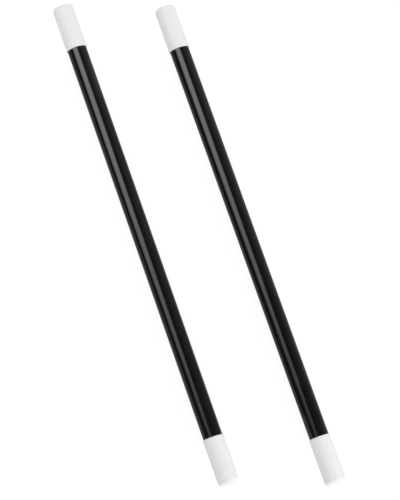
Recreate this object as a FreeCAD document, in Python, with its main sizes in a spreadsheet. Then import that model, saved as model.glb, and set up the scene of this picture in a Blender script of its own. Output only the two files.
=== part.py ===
import FreeCAD, Part

import os

import Sketcher

# A pair of slim rigid training sticks for focus, reaction and striking drills.
# Each stick is an extruded hard-plastic tube with a ribbed insert pressed into each
# open end and a soft moulded cap slipped over each end.
#
# Frame: the two sticks lie side by side on the ground plane Z = 0, with their axes
# along +X, from the butt (held) end to the tip end. The left stick is on +Y and the
# right stick on -Y, set back towards its butt end by a short stagger. The origin is
# on the ground, at the centre of the area the pair covers. The sticks rest on their
# caps, which are a little thicker than the tube. Millimetres throughout.

doc = FreeCAD.newDocument("TrainingSticks")

# --------------------------------------------------------------------------------
# Dimensions
# --------------------------------------------------------------------------------
# alias, value, meaning
DRIVING = [
    ("stick_length", 660.4, "overall length of one stick, 26 in, cap end to cap end"),
    ("tube_od", 25.4, "tube outside diameter, 1 in"),
    ("tube_wall", 2.0, "tube wall"),
    ("tube_deburr", 0.3, "chamfer on the tube's cut ends, outside and inside"),
    ("cap_length", 61.0, "cap, mouth to closed end"),
    ("cap_od", 27.2, "cap outside diameter"),
    ("cap_end_wall", 3.0, "thickness of the cap's closed end"),
    ("cap_end_radius", 3.5, "round on the closed end's outer edge"),
    ("cap_inner_radius", 0.6, "round inside the closed end"),
    ("cap_mouth_radius", 0.45, "round on the mouth's outer edge"),
    ("cap_mouth_chamfer", 0.25, "lead-in on the mouth's inner edge"),
    ("plug_flange_od", 24.2, "insert flange diameter, inside the cap's end"),
    ("plug_flange_thickness", 2.5, "insert flange thickness"),
    ("plug_flange_chamfer", 0.4, "edge break on the flange"),
    ("plug_stem_od", 19.6, "insert stem, outside"),
    ("plug_stem_wall", 1.8, "insert stem wall"),
    ("plug_stem_length", 20.0, "insert stem, from flange to inner end"),
    ("plug_rib_first", 3.0, "flange to the first rib"),
    ("plug_rib_length", 3.2, "one rib, foot to crest"),
    ("plug_rib_crest", 0.6, "flat on a rib's crest"),
    ("plug_rib_sink", 0.4, "depth of a rib's root below the stem's surface"),
    ("plug_rib_pitch", 5.2, "rib to rib"),
    ("plug_rib_count", 3, "ribs on one insert"),
    ("stick_spacing", 127.0, "axis to axis, across the pair"),
    ("stick_stagger", 43.0, "how far the right stick sits back towards its butt"),
]

# alias, formula, meaning
DERIVED = [
    ("tube_half_length", "=stick_length / 2 - cap_end_wall - plug_flange_thickness",
     "stick's middle to the tube's end, where the flange seats"),
    ("tube_length", "=2 * tube_half_length", "tube, cut end to cut end"),
    ("tube_radius", "=tube_od / 2", "tube outside radius, also the cap's bore radius"),
    ("tube_bore", "=tube_od - 2 * tube_wall", "tube inside diameter"),
    ("bore_radius", "=tube_bore / 2", "tube inside radius, also the ribs' crest radius"),
    ("cap_radius", "=cap_od / 2", "cap outside radius, also the axes' height"),
    ("cap_floor_x", "=cap_length - cap_end_wall", "mouth to the inside of the closed end"),
    ("cap_offset", "=stick_length / 2 - cap_length", "stick's middle to the cap's mouth"),
    ("flange_radius", "=plug_flange_od / 2", "insert flange radius"),
    ("stem_radius", "=plug_stem_od / 2", "insert stem outside radius"),
    ("hollow_radius", "=stem_radius - plug_stem_wall", "insert stem inside radius"),
    ("stem_end_x", "=-plug_stem_length", "stem's inner end"),
    ("rib_root_radius", "=stem_radius - plug_rib_sink", "radius of a rib's root"),
    ("rib_crest_x", "=-plug_rib_first", "first rib's face towards the flange"),
    ("rib_flat_x", "=rib_crest_x - plug_rib_crest", "inner end of the first rib's flat"),
    ("rib_foot_x", "=rib_crest_x - plug_rib_length", "foot of the first rib's slope"),
    ("half_spacing", "=stick_spacing / 2", "pair's centre to a stick's axis"),
    ("half_stagger", "=stick_stagger / 2", "pair's centre to a stick's middle, along X"),
]

# The least volume the ribs may add to one insert, in mm3.
MIN_RIBS_VOLUME = 100

sheet = doc.addObject("Spreadsheet::Sheet", "Dimensions")
sheet.set("A1", "dimension")
sheet.set("B1", "value")
sheet.set("C1", "meaning")
for row, (alias, content, meaning) in enumerate(DRIVING + DERIVED, start=2):
    sheet.set("A%d" % row, alias)
    sheet.set("B%d" % row, str(content))
    sheet.set("C%d" % row, meaning)
    sheet.setAlias("B%d" % row, alias)
doc.recompute()


def dim(alias):
    """Current value of a dimension."""
    return float(sheet.get(alias))


def bind(thing, prop, alias):
    """Tie a property to a dimension."""
    thing.setExpression(prop, "Dimensions." + alias)


# --------------------------------------------------------------------------------
# Helpers
# --------------------------------------------------------------------------------
def new_body(name, label):
    body = doc.addObject("PartDesign::Body", name)
    body.Label = label
    return body


def origin_plane(body, role):
    for feature in body.Origin.OriginFeatures:
        if feature.Role == role:
            return feature
    raise RuntimeError("no %s in %s" % (role, body.Name))


def new_sketch(body, name, role):
    sketch = body.newObject("Sketcher::SketchObject", name)
    sketch.AttachmentSupport = (origin_plane(body, role), [""])
    sketch.MapMode = "FlatFace"
    return sketch


def name_and_bind(sketch, index, name, alias):
    """Name a constraint and tie it to a dimension."""
    sketch.renameConstraint(index, name)
    bind(sketch, "Constraints." + name, alias)


def draw_profile(body, name, corners):
    """Closed polygon on the XY plane. corners holds (name, x alias, y alias); None
    stands for a coordinate of zero and keeps the corner on the sketch's axis."""
    sketch = new_sketch(body, name, "XY_Plane")
    points = [
        FreeCAD.Vector(dim(x) if x else 0.0, dim(y) if y else 0.0, 0)
        for _, x, y in corners
    ]
    count = len(points)
    for i in range(count):
        sketch.addGeometry(Part.LineSegment(points[i], points[(i + 1) % count]), False)
    for i in range(count):
        sketch.addConstraint(Sketcher.Constraint("Coincident", i, 2, (i + 1) % count, 1))

    # In the sketcher, geometry -1 is the horizontal axis, whose point 1 is the
    # origin, and geometry -2 is the vertical axis.
    for i, (corner, x, y) in enumerate(corners):
        for suffix, kind, alias, zero_axis in (
            ("_x", "DistanceX", x, -2),
            ("_y", "DistanceY", y, -1),
        ):
            if alias is None:
                sketch.addConstraint(Sketcher.Constraint("PointOnObject", i, 1, zero_axis))
            else:
                index = sketch.addConstraint(
                    Sketcher.Constraint(kind, -1, 1, i, 1, dim(alias))
                )
                name_and_bind(sketch, index, corner + suffix, alias)
    doc.recompute()
    return sketch


def revolve(body, sketch, name):
    """Full turn of a profile about the X axis."""
    feature = body.newObject("PartDesign::Revolution", name)
    feature.Profile = sketch
    feature.ReferenceAxis = (sketch, ["H_Axis"])
    feature.Angle = 360.0
    feature.Reversed = False
    doc.recompute()
    return feature


def circle_edges(shape, radius, x):
    """Names of the full circles of that radius about the X axis at that x."""
    tolerance = 1e-4
    names = []
    for i, edge in enumerate(shape.Edges, start=1):
        curve = edge.Curve
        if (
            isinstance(curve, Part.Circle)
            and abs(curve.Radius - radius) < tolerance
            and abs(curve.Center.x - x) < tolerance
            and abs(curve.Center.y) < tolerance
            and abs(curve.Center.z) < tolerance
        ):
            names.append("Edge%d" % i)
    return names


def dress(body, kind, name, base, circles, alias):
    """Fillet or Chamfer on the base's circular edges, given as (radius, x) pairs."""
    edges = []
    for radius, x in circles:
        found = circle_edges(base.Shape, radius, x)
        if not found:
            raise RuntimeError("no edge found for " + name)
        edges += found
    feature = body.newObject("PartDesign::" + kind, name)
    feature.Base = (base, edges)
    bind(feature, {"Fillet": "Radius", "Chamfer": "Size"}[kind], alias)
    doc.recompute()
    return feature


# --------------------------------------------------------------------------------
# Tube: extruded along X both ways from its middle, then its cut ends are deburred.
# --------------------------------------------------------------------------------
def make_tube(name, label):
    body = new_body(name, label)
    section = new_sketch(body, name + "Section", "YZ_Plane")
    circles = [("outside", "tube_od"), ("bore", "tube_bore")]
    centre, normal = FreeCAD.Vector(0, 0, 0), FreeCAD.Vector(0, 0, 1)
    for _, alias in circles:
        section.addGeometry(Part.Circle(centre, normal, dim(alias) / 2), False)
    for i, (circle, alias) in enumerate(circles):
        section.addConstraint(Sketcher.Constraint("Coincident", i, 3, -1, 1))
        index = section.addConstraint(Sketcher.Constraint("Diameter", i, dim(alias)))
        name_and_bind(section, index, circle, alias)
    doc.recompute()

    pad = body.newObject("PartDesign::Pad", name + "Extrusion")
    pad.Profile = section
    pad.SideType = "Symmetric"
    bind(pad, "Length", "tube_length")
    doc.recompute()

    half = dim("tube_half_length")
    ends = [
        (radius, x)
        for radius in (dim("tube_radius"), dim("bore_radius"))
        for x in (-half, half)
    ]
    dress(body, "Chamfer", name + "Deburr", pad, ends, "tube_deburr")
    return body


# --------------------------------------------------------------------------------
# Cap: a sleeve with a closed end, turned about X, mouth at x = 0 and closed end at
# x = cap_length. The bore is the tube's own outside size, as it stands once the soft
# cap has stretched over the tube.
# --------------------------------------------------------------------------------
CAP_CORNERS = [
    # corner, x alias, y alias
    ("mouth_inner", None, "tube_radius"),
    ("mouth_outer", None, "cap_radius"),
    ("end_outer", "cap_length", "cap_radius"),
    ("end_centre", "cap_length", None),
    ("floor_centre", "cap_floor_x", None),
    ("floor_outer", "cap_floor_x", "tube_radius"),
]


def make_cap(name, label):
    body = new_body(name, label)
    profile = draw_profile(body, name + "Profile", CAP_CORNERS)
    feature = revolve(body, profile, name + "Shell")
    outside, bore = dim("cap_radius"), dim("tube_radius")
    for kind, suffix, radius, x, alias in (
        ("Fillet", "EndRound", outside, dim("cap_length"), "cap_end_radius"),
        ("Fillet", "InnerRound", bore, dim("cap_floor_x"), "cap_inner_radius"),
        ("Fillet", "MouthRound", outside, 0.0, "cap_mouth_radius"),
        ("Chamfer", "MouthLead", bore, 0.0, "cap_mouth_chamfer"),
    ):
        feature = dress(body, kind, name + suffix, feature, [(radius, x)], alias)
    return body


# --------------------------------------------------------------------------------
# Plug: a ribbed insert turned about X. Its flange runs from x = 0, against the
# tube's end, out to x = plug_flange_thickness, and its hollow stem runs inwards, to
# x = -plug_stem_length. Each rib rises towards the flange, so that it slides in and
# then grips.
# --------------------------------------------------------------------------------
PLUG_CORNERS = [
    # corner, x alias, y alias
    ("flange_centre", "plug_flange_thickness", None),
    ("flange_outer", "plug_flange_thickness", "flange_radius"),
    ("flange_back", None, "flange_radius"),
    ("stem_root", None, "stem_radius"),
    ("stem_outer", "stem_end_x", "stem_radius"),
    ("stem_inner", "stem_end_x", "hollow_radius"),
    ("hollow_outer", None, "hollow_radius"),
    ("hollow_centre", None, None),
]

# The first rib: a barb whose crest meets the tube's bore.
RIB_CORNERS = [
    ("rib_root", "rib_crest_x", "rib_root_radius"),
    ("rib_crest", "rib_crest_x", "bore_radius"),
    ("rib_flat", "rib_flat_x", "bore_radius"),
    ("rib_foot", "rib_foot_x", "rib_root_radius"),
]


def make_plug(name, label):
    body = new_body(name, label)
    profile = draw_profile(body, name + "Profile", PLUG_CORNERS)
    core = revolve(body, profile, name + "Core")

    rib_profile = draw_profile(body, name + "RibProfile", RIB_CORNERS)
    first_rib = revolve(body, rib_profile, name + "Rib")
    ribs = body.newObject("PartDesign::LinearPattern", name + "Ribs")
    ribs.Originals = [first_rib]
    ribs.Direction = (rib_profile, ["H_Axis"])
    ribs.Reversed = True
    ribs.Mode = "Spacing"
    bind(ribs, "Offset", "plug_rib_pitch")
    bind(ribs, "Occurrences", "plug_rib_count")
    body.Tip = ribs
    doc.recompute()
    if ribs.Shape.Volume < core.Shape.Volume + MIN_RIBS_VOLUME:
        raise RuntimeError("%s is missing its ribs" % label)

    rim = [(dim("flange_radius"), dim("plug_flange_thickness"))]
    dress(body, "Chamfer", name + "FlangeBreak", ribs, rim, "plug_flange_chamfer")
    return body


# --------------------------------------------------------------------------------
# The ten pieces, each placed in the pair's frame.
# --------------------------------------------------------------------------------
def place(body, side, end=0, offset=None):
    """side is +1 for the left stick and -1 for the right one. end is +1 at the tip,
    -1 at the butt and 0 for the tube. offset is the alias of the distance along the
    stick from its middle to the piece's own origin."""
    body.Placement = FreeCAD.Placement(
        FreeCAD.Vector(0, 0, 0),
        FreeCAD.Rotation(FreeCAD.Vector(0, 0, 1), 180.0 if end < 0 else 0.0),
    )
    along = "%d * Dimensions.half_stagger" % side
    if offset:
        along += " + %d * Dimensions.%s" % (end, offset)
    body.setExpression("Placement.Base.x", along)
    body.setExpression("Placement.Base.y", "%d * Dimensions.half_spacing" % side)
    bind(body, "Placement.Base.z", "cap_radius")


END_PIECES = [
    # kind, maker, offset alias
    ("cap", make_cap, "cap_offset"),
    ("plug", make_plug, "tube_half_length"),
]

pieces = []
for side_name, side in (("left", 1), ("right", -1)):
    tube = make_tube(side_name.capitalize() + "Tube", side_name + "_tube")
    place(tube, side)
    pieces.append(tube)
    for end_name, end in (("tip", 1), ("butt", -1)):
        for kind, make, offset in END_PIECES:
            words = (side_name, end_name, kind)
            piece = make("".join(word.capitalize() for word in words), "_".join(words))
            place(piece, side, end, offset)
            pieces.append(piece)
doc.recompute()

# --------------------------------------------------------------------------------
# Checks, then one STEP file for each piece.
# --------------------------------------------------------------------------------
for thing in doc.Objects:
    state = list(getattr(thing, "State", []))
    if "Invalid" in state or "Error" in state:
        raise RuntimeError("%s failed: %s" % (thing.Name, state))
    if thing.isDerivedFrom("Sketcher::SketchObject") and thing.solve() != 0:
        raise RuntimeError("sketch %s does not solve" % thing.Name)

os.makedirs("parts", exist_ok=True)
for body in pieces:
    shape = body.Shape
    if shape.isNull() or not shape.isValid():
        raise RuntimeError("%s has no valid shape" % body.Label)
    if len(shape.Solids) != 1 or shape.Volume <= 0:
        raise RuntimeError("%s is not one solid" % body.Label)
    shape.exportStep(os.path.join("parts", body.Label + ".step"))
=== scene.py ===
"""A pair of straight round sticks, each a gloss black plastic tube with a white slip-over
cap and a ribbed insert at either end.

Both lie along X above a floor at z = 0, tips at +X and butts at -X, the left stick on the
+Y side. Units are metres.
"""
import math
from types import SimpleNamespace

import bmesh
import bpy
from mathutils import Matrix, Vector


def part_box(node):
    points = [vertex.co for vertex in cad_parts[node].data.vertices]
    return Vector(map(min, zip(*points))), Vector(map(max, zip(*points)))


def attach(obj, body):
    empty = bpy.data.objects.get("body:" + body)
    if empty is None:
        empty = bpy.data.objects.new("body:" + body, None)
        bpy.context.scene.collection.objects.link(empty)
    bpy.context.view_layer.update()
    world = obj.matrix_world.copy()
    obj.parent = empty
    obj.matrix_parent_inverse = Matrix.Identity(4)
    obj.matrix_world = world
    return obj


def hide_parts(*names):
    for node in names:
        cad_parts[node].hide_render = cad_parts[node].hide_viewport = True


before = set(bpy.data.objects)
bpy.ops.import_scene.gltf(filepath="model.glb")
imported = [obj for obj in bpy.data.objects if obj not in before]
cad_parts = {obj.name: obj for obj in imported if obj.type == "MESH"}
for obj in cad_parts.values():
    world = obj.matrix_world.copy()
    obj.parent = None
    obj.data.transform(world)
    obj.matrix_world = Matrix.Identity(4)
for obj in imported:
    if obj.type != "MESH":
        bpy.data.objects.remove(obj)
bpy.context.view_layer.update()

MM = 0.001
SEGMENTS = 160  # facets round every turned piece; all pieces share the same phase

TUBE_WALL = 2.0 * MM
CAP_END_WALL = 3.0 * MM  # thickness of a cap's closed end
FLANGE = 2.5 * MM  # thickness of the insert's flange, between tube and cap


def measure_stick(side):
    """The stick's middle and its pieces' sizes, read from the CAD pieces' boxes."""
    tube_low, tube_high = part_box(side + "_tube")
    tip_low, tip_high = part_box(side + "_tip_cap")
    butt_low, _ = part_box(side + "_butt_cap")
    plug_low, plug_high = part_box(side + "_tip_plug")
    return SimpleNamespace(
        middle=Vector(
            (
                (tip_high.x + butt_low.x) / 2,
                (tube_low.y + tube_high.y) / 2,
                (tube_low.z + tube_high.z) / 2,
            )
        ),
        half=(tip_high.x - butt_low.x) / 2,
        tube_radius=(tube_high.z - tube_low.z) / 2,
        tube_half=(tube_high.x - tube_low.x) / 2,
        cap_radius=(tip_high.z - tip_low.z) / 2,
        cap_length=tip_high.x - tip_low.x,
        plug_radius=(plug_high.z - plug_low.z) / 2,
    )


STICKS = {side: measure_stick(side) for side in ("left", "right")}

# ------------------------------------------------------------------------------
# Turning: every piece is a closed profile turned about its stick's axis
# ------------------------------------------------------------------------------


def arc(center_x, center_r, radius, start, stop, steps):
    """Points of an arc in the profile plane, from angle start to stop in degrees."""
    points = []
    for i in range(steps + 1):
        angle = math.radians(start + (stop - start) * i / steps)
        x = center_x + radius * math.cos(angle)
        points.append((x, center_r + radius * math.sin(angle)))
    return points


def smooth(start, stop, x):
    """Smoothstep from 0 at start to 1 at stop."""
    t = min(1.0, max(0.0, (x - start) / (stop - start)))
    return t * t * (3 - 2 * t)


def distance(point, other):
    return math.hypot(point[0] - other[0], point[1] - other[1])


def turned_ring(bm, x, radius, middle, end, offset, shift):
    """One ring of vertices, or a single vertex where the profile meets the axis."""
    count = 1 if radius < 1e-9 else SEGMENTS
    ring = []
    for j in range(count):
        angle = 2 * math.pi * j / SEGMENTS
        shift_x, shift_r = shift(x, radius, angle) if shift and count > 1 else (0.0, 0.0)
        ring_x = x + shift_x
        ring_r = radius + shift_r
        place = (
            middle.x + end * (offset + ring_x),
            middle.y + end * ring_r * math.cos(angle),
            middle.z + ring_r * math.sin(angle),
        )
        ring.append(bm.verts.new(place))
    return ring


def ring_edge(ring, j):
    """Vertices of facet j on a ring, each with its u. A single vertex takes the middle u."""
    u, next_u = j / SEGMENTS, (j + 1) / SEGMENTS
    if len(ring) == 1:
        return [(ring[0], (u + next_u) / 2)]
    return [(ring[j], u), (ring[(j + 1) % SEGMENTS], next_u)]


def turn(name, profile, middle, material, end=1, offset=0.0, shift=None, v_zero=0.0):
    """Turns a closed profile of (x, radius) points. An end of -1 is the same piece turned
    half round about Z, to face the butt. offset moves it along the axis, and
    shift(x, radius, angle) gives small changes of x and radius. UV map "turn" holds the
    turn as u and the metres along the profile, less v_zero, as v."""
    bm = bmesh.new()
    uv = bm.loops.layers.uv.new("turn")
    rings = []
    v_at = []
    travelled = 0.0
    for i, (x, radius) in enumerate(profile):
        if i:
            travelled += distance(profile[i], profile[i - 1])
        v_at.append(travelled - v_zero)
        rings.append(turned_ring(bm, x, radius, middle, end, offset, shift))
    # The last band closes the profile, and its v runs on instead of starting again.
    rings.append(rings[0])
    v_at.append(v_at[-1] + distance(profile[0], profile[-1]))
    for i in range(len(profile)):
        ring, next_ring = rings[i], rings[i + 1]
        if len(ring) == 1 and len(next_ring) == 1:
            continue
        for j in range(SEGMENTS):
            corners = [(vert, (u, v_at[i])) for vert, u in ring_edge(ring, j)]
            corners += [(vert, (u, v_at[i + 1])) for vert, u in ring_edge(next_ring, j)[::-1]]
            face = bm.faces.new([vert for vert, _ in corners])
            face.smooth = True
            for face_loop, (_, place) in zip(face.loops, corners):
                face_loop[uv].uv = place
    bmesh.ops.recalc_face_normals(bm, faces=bm.faces)
    mesh = bpy.data.meshes.new(name)
    bm.to_mesh(mesh)
    bm.free()
    mesh.set_sharp_from_angle(angle=math.radians(40))
    obj = bpy.data.objects.new(name, mesh)
    bpy.context.scene.collection.objects.link(obj)
    mesh.materials.append(material)
    return obj


# ------------------------------------------------------------------------------
# Node helpers
# ------------------------------------------------------------------------------


class Tree:
    """Builds a node tree. Any input may be a plain value or another node's output."""

    def __init__(self, tree):
        self.tree = tree
        tree.nodes.clear()

    def node(self, kind, inputs=None, **settings):
        node = self.tree.nodes.new("ShaderNode" + kind)
        for key, value in settings.items():
            setattr(node, key, value)
        self.feed(node, inputs or {})
        return node

    def feed(self, node, inputs):
        for key, value in inputs.items():
            if isinstance(value, bpy.types.NodeSocket):
                self.tree.links.new(value, node.inputs[key])
            else:
                node.inputs[key].default_value = value

    def math(self, operation, *values):
        return self.node("Math", dict(enumerate(values)), operation=operation).outputs[0]

    def multiply(self, value, by):
        return self.math("MULTIPLY", value, by)

    def add(self, value, extra, weight=None):
        if weight is not None:
            extra = self.multiply(extra, by=weight)
        return self.math("ADD", value, extra)

    def subtract(self, value, extra, weight=None):
        if weight is not None:
            extra = self.multiply(extra, by=weight)
        return self.math("SUBTRACT", value, extra)

    def line(self, value, slope, offset):
        return self.math("MULTIPLY_ADD", value, slope, offset)

    def limit(self, value, low, high):
        return self.math("MINIMUM", self.math("MAXIMUM", value, low), high)

    def ramp(self, value, over, to=(0.0, 1.0), kind="SMOOTHSTEP"):
        """Carries value from the range over to the range to, held at both ends."""
        inputs = dict(enumerate((value, *over, *to)))
        return self.node("MapRange", inputs, interpolation_type=kind, clamp=True).outputs[0]

    def mix_color(self, factor, off, on, amount=None):
        """Goes from color off to color on by factor, times amount if given."""
        if amount is not None:
            factor = self.multiply(factor, by=amount)
        inputs = {0: factor}
        for key, color in ((6, off), (7, on)):
            inputs[key] = (*color, 1.0) if isinstance(color, tuple) else color
        return self.node("Mix", inputs, data_type="RGBA", clamp_factor=True).outputs[2]

    def mix_value(self, factor, off, on):
        inputs = {0: factor, 2: off, 3: on}
        return self.node("Mix", inputs, data_type="FLOAT", clamp_factor=True).outputs[0]

    def mapped(self, vector, scale=(1, 1, 1), rotation=(0, 0, 0), location=(0, 0, 0)):
        inputs = {"Vector": vector, "Location": location, "Rotation": rotation, "Scale": scale}
        return self.node("Mapping", inputs, vector_type="POINT").outputs[0]

    def noise(
        self, vector, scale=1.0, detail=2.0, roughness=0.5, distortion=0.0,
        stretch=None, location=(0, 0, 0),
    ):
        """Noise over vector, which is first scaled by stretch and moved, if that is given."""
        if stretch:
            vector = self.mapped(vector, scale=stretch, location=location)
        inputs = {
            "Vector": vector,
            "Scale": scale,
            "Detail": detail,
            "Roughness": roughness,
            "Distortion": distortion,
        }
        return self.node("TexNoise", inputs).outputs[0]

    def voronoi(self, vector, scale=1.0, feature="F1"):
        inputs = {"Vector": vector, "Scale": scale}
        return self.node("TexVoronoi", inputs, feature=feature).outputs

    def red(self, color):
        return self.node("SeparateColor", {0: color}).outputs[0]

    def bump(self, height, distance, strength):
        inputs = {"Height": height, "Distance": distance, "Strength": strength}
        return self.node("Bump", inputs).outputs[0]

    def turned_uv(self):
        """The turned pieces' map: u round the axis, v in metres along the profile."""
        uv_map = self.node("UVMap", uv_map="turn")
        split = self.node("SeparateXYZ", {0: uv_map.outputs[0]})
        return split.outputs["X"], split.outputs["Y"]


def new_material(name):
    """A new material, its tree, its shader and the object coordinates."""
    material = bpy.data.materials.new(name)
    material.use_nodes = True
    t = Tree(material.node_tree)
    out = t.node("OutputMaterial")
    shader = t.node("BsdfPrincipled")
    t.feed(out, {"Surface": shader.outputs[0]})
    return material, t, shader, t.node("TexCoord").outputs["Object"]


# ------------------------------------------------------------------------------
# Gloss black extruded plastic: long die lines, fine scratches, haze and dust
# ------------------------------------------------------------------------------

TUBE_GIRTH = 0.0798  # metres of surface that one turn of u stands for


def scratches(t, flat, angle, length, spacing, width, seed, threshold, extra=0.0):
    """Fine marks at an angle in degrees to the stick: the edges of long thin cells, bent
    a little, kept in some cells of a few patches only. Sizes are metres on the surface.
    A higher threshold leaves fewer patches, and extra adds to them."""
    bend = t.noise(flat, detail=1.0, stretch=(60.0, 60.0, 1.0), location=(0, 0, seed))
    bend = t.multiply(t.subtract(bend, 0.5), by=0.0022)
    sideways = t.node("CombineXYZ", {"Y": bend}).outputs[0]
    bent = t.node("VectorMath", {0: flat, 1: sideways}, operation="ADD").outputs[0]
    spun = t.mapped(bent, rotation=(0, 0, math.radians(angle)))
    cells = t.mapped(
        spun, scale=(1 / length, 1 / spacing, 1.0), location=(seed, 2 * seed, seed)
    )
    edge = t.voronoi(cells, feature="DISTANCE_TO_EDGE")["Distance"]
    line = t.ramp(edge, over=(0.0, width / spacing), to=(1.0, 0.0))
    pick = t.red(t.voronoi(cells)["Color"])
    patch = t.noise(flat, stretch=(34.0, 46.0, 1.0), location=(seed, 0, 3.1))
    patch = t.add(patch, extra)
    chosen = t.multiply(
        t.ramp(pick, over=(0.55, 0.60)),
        by=t.ramp(patch, over=(threshold, threshold + 0.10)),
    )
    return t.multiply(line, by=chosen)


def all_scratches(t):
    """Hairlines in three directions, laid out on the unrolled surface."""
    around, along = t.turned_uv()
    unrolled = {"X": along, "Y": t.multiply(around, by=TUBE_GIRTH)}
    flat = t.node("CombineXYZ", unrolled).outputs[0]
    # The lengthwise ones thicken where the caps were pushed on.
    bare_half = STICKS["left"].half - STICKS["left"].cap_length
    near_cap = (bare_half - 0.030, bare_half - 0.002)
    pushed = t.ramp(t.math("ABSOLUTE", along), over=near_cap, to=(0.0, 0.10))
    lengthwise = scratches(
        t, flat, angle=3.0, length=0.045, spacing=0.0016, width=0.000020,
        seed=0.7, threshold=0.50, extra=pushed,
    )
    slanting = scratches(
        t, flat, angle=31.0, length=0.024, spacing=0.0022, width=0.000022,
        seed=4.2, threshold=0.56,
    )
    crossing = scratches(
        t, flat, angle=-47.0, length=0.018, spacing=0.0026, width=0.000020,
        seed=8.8, threshold=0.58,
    )
    return t.math("MAXIMUM", t.math("MAXIMUM", lengthwise, slanting), crossing)


def black_tube_material():
    material, t, shader, where = new_material("black_tube")

    # Haze from handling: broad soft patches, stretched a little along the stick.
    haze = t.noise(where, stretch=(14.0, 60.0, 60.0), detail=4.0, roughness=0.55, distortion=0.4)
    haze = t.ramp(haze, over=(0.42, 0.72))
    # Finger grease: small soft dabs.
    dabs = t.voronoi(t.mapped(where, scale=(55.0, 85.0, 85.0)))["Distance"]
    dabs = t.multiply(t.ramp(dabs, over=(0.18, 0.5), to=(1.0, 0.0)), by=haze)
    # Die lines from the extrusion: far longer than they are wide.
    lines = t.noise(where, stretch=(1.6, 1500.0, 1500.0), detail=3.0, roughness=0.6)
    broad = t.noise(where, stretch=(0.9, 260.0, 260.0))
    hair = all_scratches(t)
    # Dust: small specks, only in some cells.
    cells = t.voronoi(where, scale=420.0)
    speck = t.ramp(cells["Distance"], over=(0.05, 0.10), to=(1.0, 0.0))
    dust = t.multiply(speck, by=t.ramp(t.red(cells["Color"]), over=(0.86, 0.90)))

    streaks = t.noise(where, stretch=(6.0, 90.0, 90.0), detail=3.0)
    base = t.mix_color(streaks, off=(0.0038, 0.0039, 0.0041), on=(0.0056, 0.0056, 0.0058))
    base = t.mix_color(hair, off=base, on=(0.035, 0.035, 0.036), amount=0.5)
    base = t.mix_color(dust, off=base, on=(0.30, 0.30, 0.29), amount=0.55)

    rough = t.mix_value(haze, off=0.085, on=0.135)
    rough = t.add(rough, dabs, weight=0.05)
    rough = t.add(rough, t.ramp(lines, over=(0.35, 0.65)), weight=0.015)
    rough = t.mix_value(hair, off=rough, on=0.32)
    rough = t.mix_value(dust, off=rough, on=0.85)

    height = t.add(t.multiply(lines, by=0.35), broad)
    height = t.subtract(height, hair, weight=0.8)
    height = t.add(height, dust, weight=4.0)
    normal = t.bump(height, distance=0.000018, strength=0.55)
    t.feed(shader, {"Base Color": base, "Roughness": rough, "IOR": 1.5, "Normal": normal})
    return material


# ------------------------------------------------------------------------------
# White soft vinyl: satin, faintly see-through, fine moulded grain, rubbed edges
# ------------------------------------------------------------------------------


def white_cap_material():
    material, t, shader, where = new_material("white_cap")
    _, along = t.turned_uv()  # metres from the mouth, then in over the closed end

    cloud = t.noise(where, scale=70.0, detail=4.0, roughness=0.6)
    fine = t.noise(where, scale=620.0, detail=3.0, roughness=0.6)
    grain = t.noise(where, scale=2600.0, roughness=0.6)
    pores = t.voronoi(where, scale=1900.0)["Distance"]

    # Rubbed rim of the closed end, and the slightly soiled lip of the mouth.
    rim = t.multiply(
        t.ramp(along, over=(0.0580, 0.0602)),
        by=t.ramp(along, over=(0.0620, 0.0662), to=(1.0, 0.0)),
    )
    lip = t.ramp(along, over=(0.0004, 0.0030), to=(1.0, 0.0))
    face = t.ramp(along, over=(0.0625, 0.0650))
    rub = t.noise(
        where, stretch=(210.0, 120.0, 120.0), detail=5.0, roughness=0.68, distortion=0.6
    )
    rubbed = t.multiply(rim, by=t.ramp(rub, over=(0.46, 0.66)))
    soil = t.multiply(lip, by=t.ramp(rub, over=(0.40, 0.62)))
    # Slanting scuffs, strongest on the end face.
    slanted = t.mapped(where, scale=(90.0, 75.0, 640.0), rotation=(0.5, 0.1, 0.2))
    scuff = t.ramp(t.noise(slanted, detail=4.0, roughness=0.7), over=(0.60, 0.72))
    scuff = t.multiply(scuff, by=t.add(t.multiply(face, by=0.75), 0.22))
    # Hand marks: soft smears that dull the satin and grey it by a hair.
    smear = t.noise(where, stretch=(48.0, 95.0, 95.0), detail=5.0, roughness=0.62, distortion=0.8)
    smear = t.ramp(smear, over=(0.50, 0.72))

    base = t.mix_color(cloud, off=(0.836, 0.841, 0.855), on=(0.884, 0.888, 0.900))
    fine_spots = t.ramp(fine, over=(0.58, 0.78))
    for mask, color, amount in (
        (fine_spots, (0.74, 0.74, 0.73), 0.16),
        (smear, (0.76, 0.755, 0.745), 0.10),
        (rubbed, (0.56, 0.56, 0.55), 0.22),
        (soil, (0.50, 0.49, 0.47), 0.30),
        (scuff, (0.47, 0.47, 0.47), 0.24),
    ):
        base = t.mix_color(mask, off=base, on=color, amount=amount)

    rough = t.mix_value(cloud, off=0.40, on=0.52)
    rough = t.add(rough, smear, weight=0.10)
    rough = t.add(rough, t.ramp(grain, over=(0.4, 0.7)), weight=0.05)
    rough = t.mix_value(rubbed, off=rough, on=0.68)
    rough = t.mix_value(scuff, off=rough, on=0.66)

    height = t.add(t.multiply(grain, by=1.0), pores, weight=0.6)
    height = t.add(height, fine, weight=1.6)
    height = t.subtract(height, scuff, weight=1.2)
    t.feed(shader, {
        "Base Color": base,
        "Roughness": rough,
        "IOR": 1.48,
        "Subsurface Weight": 0.18,
        "Subsurface Radius": (1.0, 0.92, 0.85),
        "Subsurface Scale": 0.0012,
        "Normal": t.bump(height, distance=0.000035, strength=0.8),
    })
    return material


# ------------------------------------------------------------------------------
# Natural polyethylene for the inserts: milky, waxy, with flow marks
# ------------------------------------------------------------------------------


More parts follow.
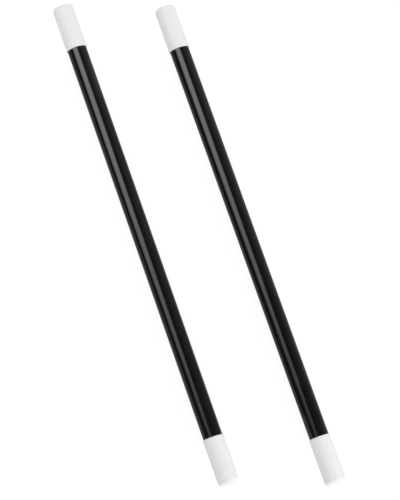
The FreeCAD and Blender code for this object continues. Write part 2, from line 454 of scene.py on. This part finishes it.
def insert_material():
    material, t, shader, where = new_material("tube_insert")
    flow = t.noise(where, stretch=(260.0, 120.0, 120.0), detail=4.0, roughness=0.6, distortion=1.2)
    grain = t.noise(where, scale=1800.0, detail=3.0, roughness=0.6)
    t.feed(shader, {
        "Base Color": t.mix_color(flow, off=(0.60, 0.60, 0.56), on=(0.68, 0.68, 0.65)),
        "Roughness": t.mix_value(flow, off=0.38, on=0.52),
        "IOR": 1.51,
        "Subsurface Weight": 0.4,
        "Subsurface Radius": (1.0, 1.0, 0.9),
        "Subsurface Scale": 0.002,
        "Normal": t.bump(t.add(flow, grain), distance=0.00002, strength=0.5),
    })
    return material


BLACK = black_tube_material()
WHITE = white_cap_material()
INSERT = insert_material()

# Every CAD piece gets its finish too, shown or not.
for node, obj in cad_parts.items():
    obj.data.materials.clear()
    obj.data.materials.append(
        BLACK if node.endswith("_tube") else WHITE if node.endswith("_cap") else INSERT
    )

# ------------------------------------------------------------------------------
# Tube
# ------------------------------------------------------------------------------

TUBE_CUT = 0.3 * MM  # chamfer on the cut ends' edges
TUBE_STEPS = 150  # bands along the outside
BORE_STEPS = 8  # bands along the bore
WANDER = 0.014 * MM


def make_tube(side, stick):
    """Extruded tube. Its outside wanders by a few hundredths of a millimetre between the
    caps, which keeps the long reflection from being ruled."""
    outer, half, cut = stick.tube_radius, stick.tube_half, TUBE_CUT
    bore = outer - TUBE_WALL
    straight = 2 * half - 2 * cut
    seed = 0.0 if side == "left" else 2.3
    bare_half = stick.half - stick.cap_length

    def wander(x, radius, angle):
        """Slow waves round and along the outside, faded out before the caps."""
        if radius < outer - 0.01 * MM:
            return 0.0, 0.0
        window = smooth(bare_half - 1.0 * MM, bare_half - 16.0 * MM, abs(x))
        wave = (
            0.45 * math.sin(2 * angle + 0.7 + seed + 1.7 * math.sin(x * 15 + seed))
            + 0.30 * math.sin(3 * angle - 1.1 * seed + x * 19)
            + 0.25 * math.sin(5 * angle + seed + 2.0 * math.sin(x * 31))
            + 0.30 * math.sin(x * 68 + seed) * math.sin(x * 23 + 0.5)
        )
        return 0.0, WANDER * wave * window

    profile = [(-half + cut + straight * i / TUBE_STEPS, outer) for i in range(TUBE_STEPS + 1)]
    profile += [(half, outer - cut), (half, bore + cut), (half - cut, bore)]
    profile += [(half - cut - straight * i / BORE_STEPS, bore) for i in range(1, BORE_STEPS)]
    profile += [(-half + cut, bore), (-half, bore + cut), (-half, outer - cut)]
    return turn(
        side + "_stick_tube", profile, stick.middle, BLACK, shift=wander, v_zero=half
    )


# ------------------------------------------------------------------------------
# Caps
# ------------------------------------------------------------------------------

CAP_CLEARANCE = 0.02 * MM  # between the tube and the cap's bore
CAP_LIP = 0.45 * MM  # rounding of the mouth
CAP_EDGE = 3.5 * MM  # rounding of the closed end
CAP_INNER_EDGE = 0.6 * MM
CAP_FINE_STEP = 0.3 * MM  # between rings where the sleeve draws in

# Places of the sleeve's rings, in mm from the mouth.
SLEEVE_RINGS = (1.2, 2.4, 4, 7, 11, 16, 22, 28, 34, 40, 45, 49, 52)

# Closed end, from its flat face into the gate dimple and over the gate's stub:
# (depth below the face, radius), in mm.
END_FACE = (
    (0.0, 8.5), (0.0, 5.0), (0.0, 2.75),
    (0.03, 2.55), (0.14, 2.36), (0.27, 2.22), (0.34, 2.02), (0.36, 1.70),
    (0.36, 0.95), (0.32, 0.78), (0.16, 0.70), (0.12, 0.62), (0.11, 0.30), (0.13, 0.0),
)


def make_cap(side, end_name, end, stick):
    """Slip-over cap, from its mouth at x = 0 to its closed end. The lip is rounded and a
    little uneven, the sleeve draws in by a hair where it runs off the tube's end onto
    the insert, and the closed end has a small moulding gate in a dimple."""
    length, outer = stick.cap_length, stick.cap_radius
    bore = stick.tube_radius + CAP_CLEARANCE
    seed = {"left": 0.4, "right": 1.9}[side] + (0.0 if end > 0 else 2.7)
    floor = length - CAP_END_WALL
    tube_end = floor - FLANGE  # the tube's cut end, inside the cap

    def sleeve_radius(x):
        draft = 0.05 * MM * smooth(4 * MM, length, x)
        waist = 0.10 * MM * smooth(tube_end - 1.6 * MM, tube_end + 0.6 * MM, x)
        waist *= 1 - 0.55 * smooth(tube_end + 1.2 * MM, floor + 0.6 * MM, x)
        return outer - draft - waist

    def uneven(x, radius, angle):
        """The trimmed lip isn't quite square, and soft vinyl is never quite round."""
        lip_wave = (
            0.5 * math.sin(angle + seed)
            + 0.3 * math.sin(2 * angle + 2 * seed)
            + 0.2 * math.sin(5 * angle + seed)
        )
        shift_x = 0.05 * MM * (lip_wave + 1.0) * smooth(3 * MM, 0.2 * MM, x)
        shift_r = 0.0
        if radius > outer - 1.0 * MM and x > 0.3 * MM:
            wave = math.sin(2 * angle + seed + x * 30)
            wave += 0.6 * math.sin(3 * angle - seed + x * 55)
            shift_r = -0.012 * MM * (1.6 + wave) * smooth(0.3 * MM, 5 * MM, x)
        return shift_x, shift_r

    profile = arc(CAP_LIP, outer - CAP_LIP, CAP_LIP, 180, 90, 8)
    profile += [(x * MM, sleeve_radius(x * MM)) for x in SLEEVE_RINGS]
    x = tube_end - 2.0 * MM
    while x < length - CAP_EDGE - 0.2 * MM:
        profile.append((x, sleeve_radius(x)))
        x += CAP_FINE_STEP
    edge_x = length - CAP_EDGE
    profile += arc(edge_x, sleeve_radius(edge_x) - CAP_EDGE, CAP_EDGE, 90, 0, 20)
    profile += [(length - depth * MM, radius * MM) for depth, radius in END_FACE]
    # Inside: the floor, then back along the bore to the mouth.
    profile += [(floor, 0.0), (floor, 6.0 * MM)]
    profile += arc(floor - CAP_INNER_EDGE, bore - CAP_INNER_EDGE, CAP_INNER_EDGE, 0, 90, 6)
    profile += [(x, bore) for x in (floor - 8 * MM, 30 * MM, 6 * MM, 0.27 * MM)]
    profile += [(0.08 * MM, bore + 0.12 * MM), (0.0, bore + 0.23 * MM)]

    name = f"{side}_stick_{end_name}_cap"
    offset = stick.half - length
    return turn(name, profile, stick.middle, WHITE, end=end, offset=offset, shift=uneven)


# ------------------------------------------------------------------------------
# Inserts
# ------------------------------------------------------------------------------

STEM_RADIUS = 9.8 * MM
STEM_WALL = 1.8 * MM
STEM_LENGTH = 20.0 * MM
FLANGE_EDGE = 0.4 * MM
RIB_CLEARANCE = 0.01 * MM
RIB_COUNT = 3
FIRST_RIB = 3.0  # mm from the flange
RIB_PITCH = 5.2  # mm


def make_insert(side, end_name, end, stick):
    """Ribbed insert: flange from x = 0 outwards, hollow stem and barbed ribs inwards."""
    flange, stem = stick.plug_radius, STEM_RADIUS
    bore = stem - STEM_WALL
    crest = stick.tube_radius - TUBE_WALL - RIB_CLEARANCE
    profile = [(FLANGE, 0.0), (FLANGE, flange - FLANGE_EDGE)]
    profile += arc(FLANGE - FLANGE_EDGE, flange - FLANGE_EDGE, FLANGE_EDGE, 0, 90, 4)[1:]
    profile += [
        (0.12 * MM, flange),
        (0.0, flange - 0.12 * MM),
        (0.0, stem + 0.25 * MM),
        (-0.25 * MM, stem),
    ]
    for i in range(RIB_COUNT):
        near = -(FIRST_RIB + RIB_PITCH * i) * MM
        profile += [
            (near + 0.02 * MM, stem),
            (near, crest - 0.1 * MM),
            (near - 0.1 * MM, crest),
            (near - 0.6 * MM, crest),
            (near - 0.8 * MM, crest - 0.08 * MM),
            (near - 2.6 * MM, stem),
        ]
    profile += [
        (-STEM_LENGTH + 0.3 * MM, stem),
        (-STEM_LENGTH, stem - 0.3 * MM),
        (-STEM_LENGTH, bore + 0.2 * MM),
        (-STEM_LENGTH + 0.2 * MM, bore),
        (-0.5 * MM, bore),
        (0.0, bore - 0.5 * MM),
        (0.0, 0.0),
    ]
    name = f"{side}_stick_{end_name}_insert"
    offset = stick.half - CAP_END_WALL - FLANGE
    return turn(name, profile, stick.middle, INSERT, end=end, offset=offset)


for side, stick in STICKS.items():
    made = [(make_tube(side, stick), side + "_tube", "black_tube")]
    for end_name, end in (("tip", 1), ("butt", -1)):
        place = f"{side}_{end_name}"
        made.append((make_cap(side, end_name, end, stick), place + "_cap", "white_cap"))
        made.append((make_insert(side, end_name, end, stick), place + "_plug", "tube_insert"))
    for obj, node, slot in made:
        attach(obj, side + "_stick")
        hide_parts(node)

# ------------------------------------------------------------------------------
# Stage: plain pale floor
# ------------------------------------------------------------------------------

FLOOR_HALF = 9.0
FLOOR_DIFFUSE = 0.14  # grey of the part that takes soft shadows
# Strength of the even glow, as each kind of ray meets it.
FLOOR_SEEN = 0.905
FLOOR_BOUNCE = 0.56
FLOOR_MIRRORED = 0.42
WHITE_LIGHT = (1, 1, 1, 1)


def floor_material():
    """A diffuse part that takes soft shadows, and an even part that keeps the floor pale.
    Mirrored rays see the even part alone."""
    material = bpy.data.materials.new("pale_floor")
    material.use_nodes = True
    material.cycles.emission_sampling = "NONE"
    t = Tree(material.node_tree)
    out = t.node("OutputMaterial")
    rays = t.node("LightPath").outputs
    grey = (FLOOR_DIFFUSE, FLOOR_DIFFUSE, FLOOR_DIFFUSE, 1)
    diffuse = t.node("BsdfDiffuse", {"Color": grey}).outputs[0]
    glow = t.mix_value(rays["Is Camera Ray"], off=FLOOR_BOUNCE, on=FLOOR_SEEN)
    glow = t.mix_value(rays["Is Glossy Ray"], off=glow, on=FLOOR_MIRRORED)
    even = t.node("Emission", {"Color": WHITE_LIGHT, "Strength": glow}).outputs[0]
    both = t.node("AddShader", {0: diffuse, 1: even}).outputs[0]
    choose = t.node("MixShader", {0: rays["Is Glossy Ray"], 1: both, 2: even})
    t.feed(out, {"Surface": choose.outputs[0]})
    return material


def make_floor():
    mesh = bpy.data.meshes.new("floor")
    signs = ((-1, -1), (1, -1), (1, 1), (-1, 1))
    corners = [(x * FLOOR_HALF, y * FLOOR_HALF, 0) for x, y in signs]
    mesh.from_pydata(corners, [], [(0, 1, 2, 3)])
    floor = bpy.data.objects.new("floor", mesh)
    bpy.context.scene.collection.objects.link(floor)
    mesh.materials.append(floor_material())


make_floor()

# ------------------------------------------------------------------------------
# World: mirrored rays see a soft box high on the +Y side and a grey room on the -Y side
# ------------------------------------------------------------------------------

AMBIENT = 0.725  # what lights matt surfaces
BEYOND_FLOOR = 1.0  # what the camera sees past the floor
MIRROR_FLOOR = 0.035  # least strength that mirrored rays see


def make_world():
    world = bpy.data.worlds.new("studio")
    bpy.context.scene.world = world
    world.use_nodes = True
    world.cycles.sampling_method = "NONE"
    t = Tree(world.node_tree)
    out = t.node("OutputWorld")
    coords = t.node("TexCoord")
    rays = t.node("LightPath").outputs
    x, y, z = t.node("SeparateXYZ", {0: coords.outputs["Generated"]}).outputs
    # Degrees round the sticks' axis: 0 overhead, positive towards +Y.
    roll = t.multiply(t.math("ARCTAN2", y, z), by=math.degrees(1.0))

    # Soft box: its -Y and +Y edges, in degrees, and its strength change along the sticks.
    low_edge = t.ramp(x, over=(0.10, 0.30), to=(19.0, -3.0), kind="LINEAR")
    high_edge = t.add(
        t.ramp(x, over=(0.095, 0.19), to=(41.0, 55.5), kind="LINEAR"),
        t.ramp(x, over=(0.24, 0.30), to=(0.0, -7.0)),
    )
    rise = t.ramp(t.subtract(roll, low_edge), over=(-8.0, 8.0))
    fall = t.ramp(t.subtract(roll, high_edge), over=(-12.0, 12.0), to=(1.0, 0.0))
    power = t.limit(t.line(x, slope=17.1, offset=-0.79), low=0.5, high=4.6)
    # Past the tips it is an ordinary soft box again.
    power = t.multiply(power, by=t.ramp(x, over=(0.36, 0.62), to=(1.0, 0.34)))
    box = t.multiply(t.multiply(rise, by=fall), by=power)

    # Grey room: brightens from near overhead down towards the -Y horizon.
    away = t.ramp(roll, over=(-8.0, -75.0), kind="LINEAR")
    away = t.math("POWER", away, 1.2)
    room = t.line(t.subtract(x, 0.103), slope=1.1, offset=0.20)
    room = t.limit(room, low=0.12, high=0.5)
    mirrored = t.add(t.add(box, t.multiply(away, by=room)), MIRROR_FLOOR)

    strength = t.mix_value(rays["Is Glossy Ray"], off=AMBIENT, on=mirrored)
    strength = t.mix_value(rays["Is Camera Ray"], off=strength, on=BEYOND_FLOOR)
    background = t.node("Background", {"Color": WHITE_LIGHT, "Strength": strength})
    t.feed(out, {"Surface": background.outputs[0]})


make_world()

# ------------------------------------------------------------------------------
# Lights
# ------------------------------------------------------------------------------


def area_light(name, place, target, size, power):
    """A rectangular light in watts that shows in no reflection."""
    data = bpy.data.lights.new(name, "AREA")
    data.shape = "RECTANGLE"
    data.size, data.size_y = size
    data.energy = power
    data.specular_factor = 0.0
    obj = bpy.data.objects.new(name, data)
    bpy.context.scene.collection.objects.link(obj)
    obj.location = place
    obj.visible_glossy = False
    obj.visible_camera = False
    obj.rotation_mode = "QUATERNION"
    obj.rotation_quaternion = (Vector(target) - Vector(place)).to_track_quat("-Z", "Y")


# Broad, even light from the right stick's side.
area_light("soft_key", place=(0.4, -1.7, 1.0), target=(0, 0, 0), size=(1.5, 1.5), power=9.2)
# A softer one over the tips.
area_light("tip_fill", place=(1.0, 1.0, 1.3), target=(0.33, 0, 0), size=(0.9, 0.9), power=5.0)
# Low light from the butt end, which keeps the butt caps' end faces nearly white.
area_light(
    "end_fill", place=(-1.95, -0.55, 0.35), target=(-0.33, 0, 0.013), size=(0.9, 0.6), power=15.5
)

# ------------------------------------------------------------------------------
# Camera and view
# ------------------------------------------------------------------------------

CAMERA_PLACE = Vector((-0.502245, 0.293027, 2.516136))
# The camera's own axes, in the scene.
CAMERA_AXES = (
    (-0.329409, -0.943045, 0.046433),  # right
    (0.924853, -0.312372, 0.216957),  # up
    (-0.190095, 0.114411, 0.975076),  # backward
)

camera_data = bpy.data.cameras.new("camera")
camera_data.sensor_width = 36.0
camera_data.lens = 144.0
camera_data.clip_start = 0.1
camera_data.clip_end = 30.0
camera = bpy.data.objects.new("camera", camera_data)
bpy.context.scene.collection.objects.link(camera)
rotation = Matrix(CAMERA_AXES).transposed().to_4x4()
camera.matrix_world = Matrix.Translation(CAMERA_PLACE) @ rotation
bpy.context.scene.camera = camera

view = bpy.context.scene.view_settings
view.view_transform = "Standard"
view.look = "None"
view.exposure = 0.0
view.gamma = 1.0
